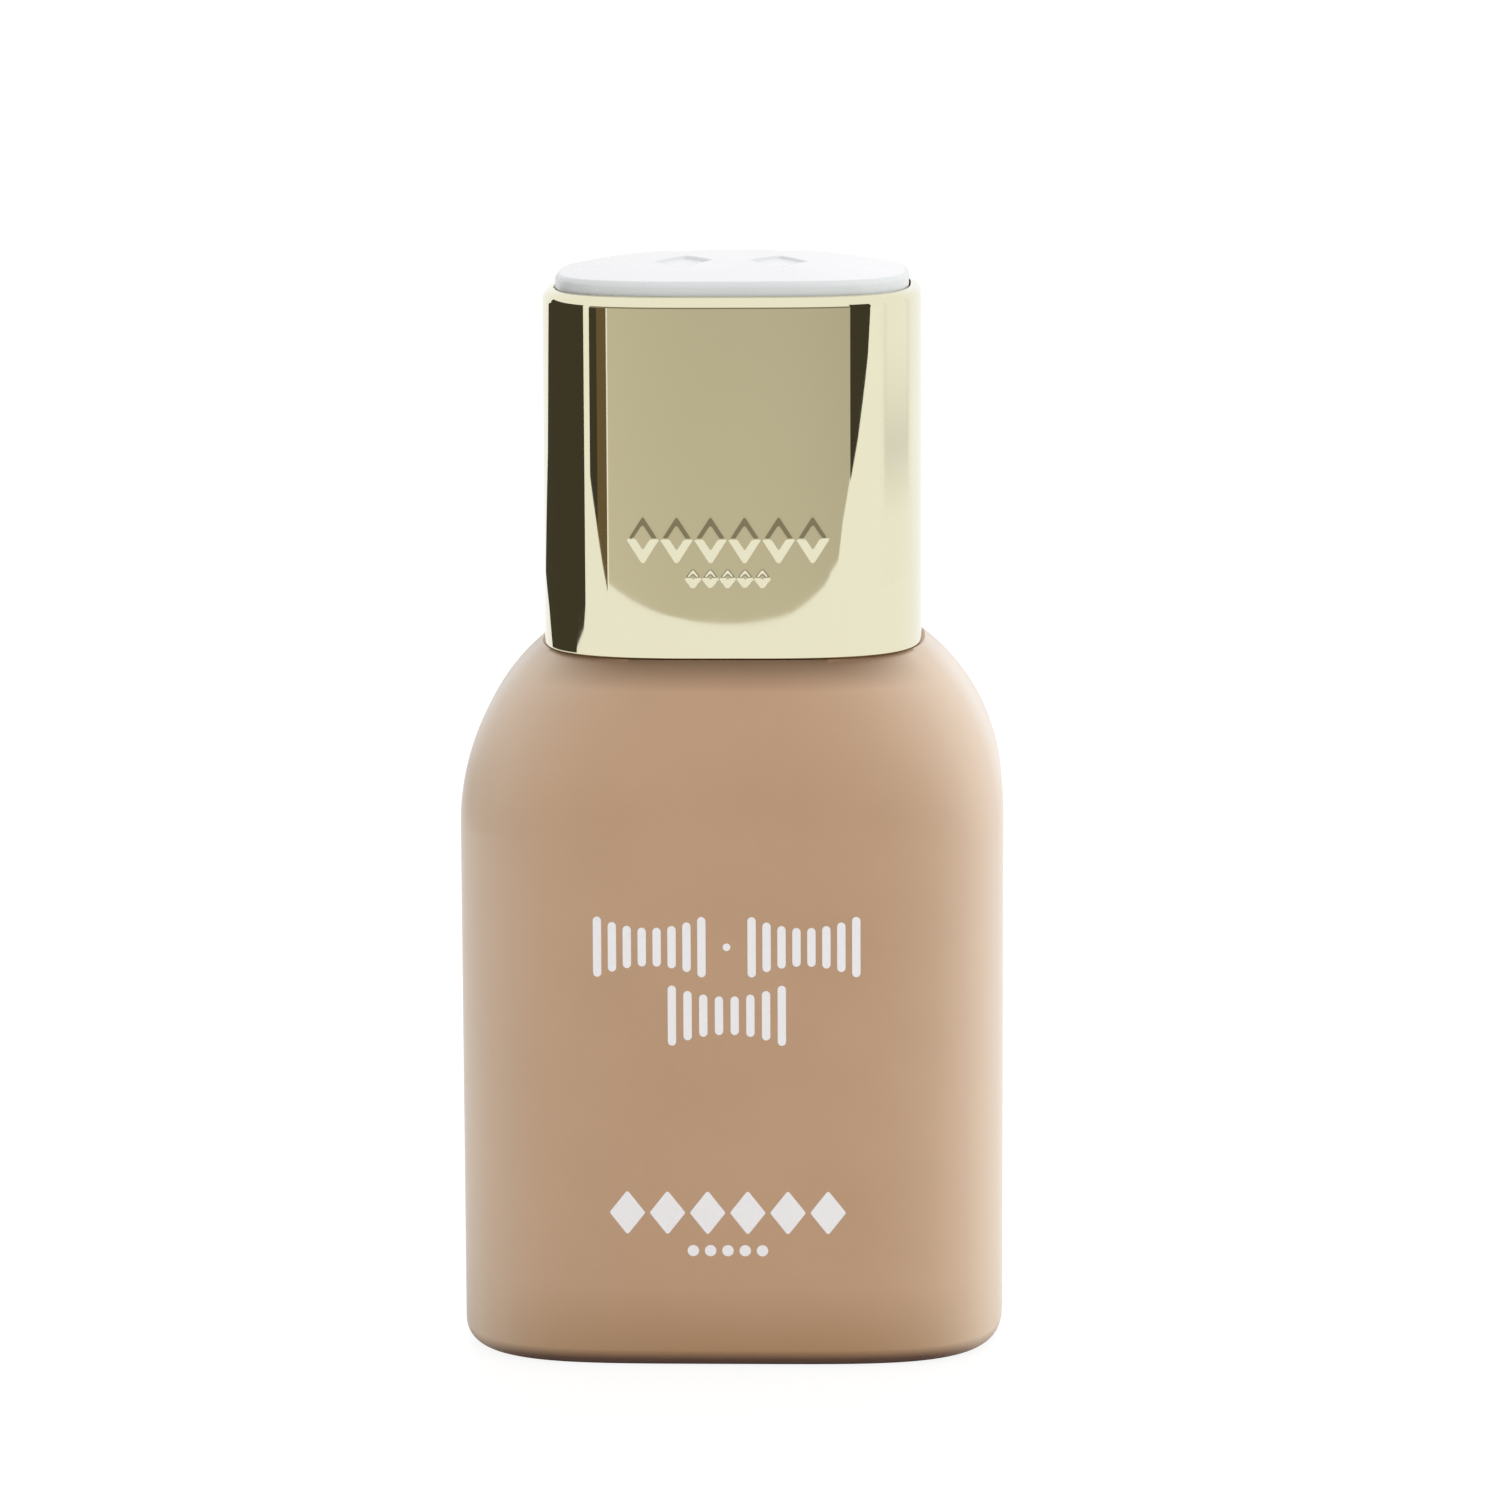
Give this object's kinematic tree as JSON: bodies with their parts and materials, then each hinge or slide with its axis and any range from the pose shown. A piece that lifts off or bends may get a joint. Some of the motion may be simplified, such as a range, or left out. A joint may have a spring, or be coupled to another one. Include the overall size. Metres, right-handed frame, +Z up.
{
  "type": "foundation pump bottle",
  "caption": "Square frosted glass foundation bottle with rounded shoulders, screw-on lotion pump and square pale-gold pull-off overcap with a white top plate.",
  "frame": {"origin": "centre of the base on the resting plane", "axes": "+Z up along the bottle's axis, -Y towards the printed front, +X to the right of someone facing the front"},
  "size_m": [0.04, 0.04, 0.0794],
  "materials": {
    "frosted_glass": "acid-etched satin outside, polished inside",
    "foundation": "opaque nude cream",
    "label_paper": "coated paper",
    "gasket_foam": "closed-cell foam",
    "natural_plastic": "translucent natural polypropylene",
    "white_plastic": "moulded white polypropylene",
    "ivory_plastic": "soft polyethylene",
    "spring_steel": "bright drawn stainless",
    "pale_gold": "bright pale-gold anodised",
    "white_gloss": "satin-gloss white"
  },
  "bodies": {
    "bottle": {"glass_bottle": "frosted_glass", "foundation_fill": "foundation", "shade_label": "label_paper"},
    "pump": {"neck_gasket": "gasket_foam", "pump_housing": "natural_plastic", "pump_retainer": "white_plastic", "dip_tube": "natural_plastic", "ball_retainer": "ivory_plastic", "return_spring": "spring_steel"},
    "closure": {"screw_closure": "white_plastic", "collar_trim": "pale_gold"},
    "overcap": {"overcap_shell": "pale_gold", "overcap_liner": "white_plastic", "overcap_top_plate": "white_gloss"},
    "plunger": {"pump_stem": "white_plastic", "piston_seat": "ivory_plastic"},
    "piston": {"piston": "ivory_plastic"},
    "actuator": {"actuator_button": "white_plastic"},
    "ball": {"inlet_ball": "spring_steel"}
  },
  "joints": [
    {"name": "pump_rise", "type": "slide", "parent": "bottle", "child": "pump", "axis": [0, 0, 1], "range_m": [0, 0.00397]},
    {"name": "closure_turn", "type": "hinge", "parent": "pump", "child": "closure", "pos_m": [0, 0, 0.062], "axis": [0, 0, 1], "range_deg": [0, 450]},
    {"name": "overcap_lift", "type": "slide", "parent": "pump", "child": "overcap", "axis": [0, 0, 1], "range_m": [0, 0.04]},
    {"name": "actuator_press", "type": "slide", "parent": "pump", "child": "plunger", "axis": [0, 0, -1], "range_m": [0, 0.0027], "stiffness_N_per_m": 1500, "springref_m": -0.003, "deforming": ["return_spring"]},
    {"name": "actuator_swivel", "type": "hinge", "parent": "plunger", "child": "actuator", "pos_m": [0, 0, 0.0669], "axis": [0, 0, 1], "continuous": true},
    {"name": "piston_slip", "type": "slide", "parent": "plunger", "child": "piston", "axis": [0, 0, 1], "range_m": [0, 0.0004]},
    {"name": "inlet_ball_lift", "type": "slide", "parent": "pump", "child": "ball", "axis": [0, 0, 1], "range_m": [0, 0.0008]}
  ],
  "couplings": [
    {"joint": "closure_turn", "follows": "pump_rise", "rad_per_m": 1979}
  ]
}
